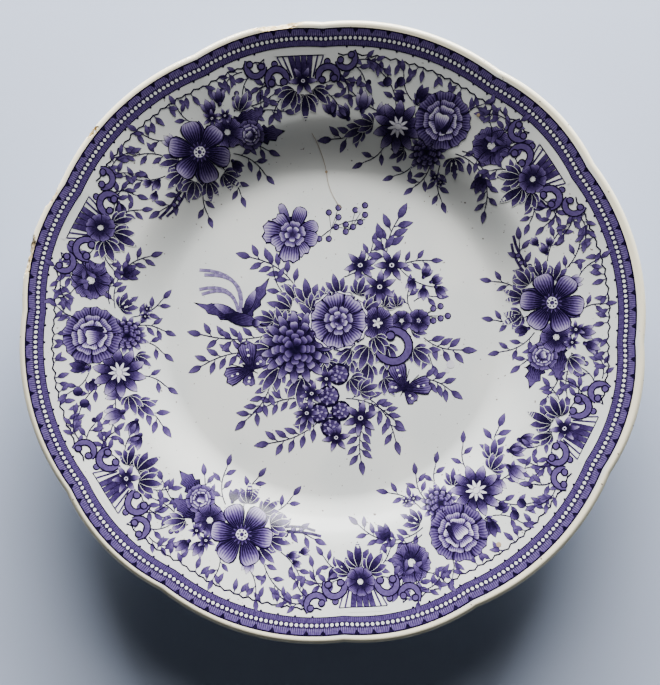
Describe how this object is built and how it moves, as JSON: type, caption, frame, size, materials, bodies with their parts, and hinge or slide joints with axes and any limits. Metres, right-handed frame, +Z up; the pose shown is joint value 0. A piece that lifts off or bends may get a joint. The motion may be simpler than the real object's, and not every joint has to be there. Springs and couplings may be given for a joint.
{
  "type": "dinner plate",
  "caption": "Round glazed dinner plate with a gently lobed rim, a foot ring, a printed floral border in repeating lengths and a printed floral bouquet in the well.",
  "frame": {"origin": "on the table, at the middle of the foot ring", "axes": "+Z up out of the well; +X and +Y lie in the table's plane"},
  "size_m": [0.2482, 0.248, 0.0276],
  "materials": {
    "clay": "matte, porous cream earthenware, seen at the chips and on the standing band",
    "glaze": "clear glossy glaze over pale clay, with fine specks and an old hairline",
    "rim_ink": "violet-blue engraved print under gloss glaze",
    "centre_ink": "violet-blue engraved print under gloss glaze"
  },
  "bodies": {
    "root": {"clay_body": "clay", "glaze": "glaze", "rim_print_1": "rim_ink", "rim_print_2": "rim_ink", "rim_print_3": "rim_ink", "centre_print": "centre_ink"}
  },
  "joints": []
}
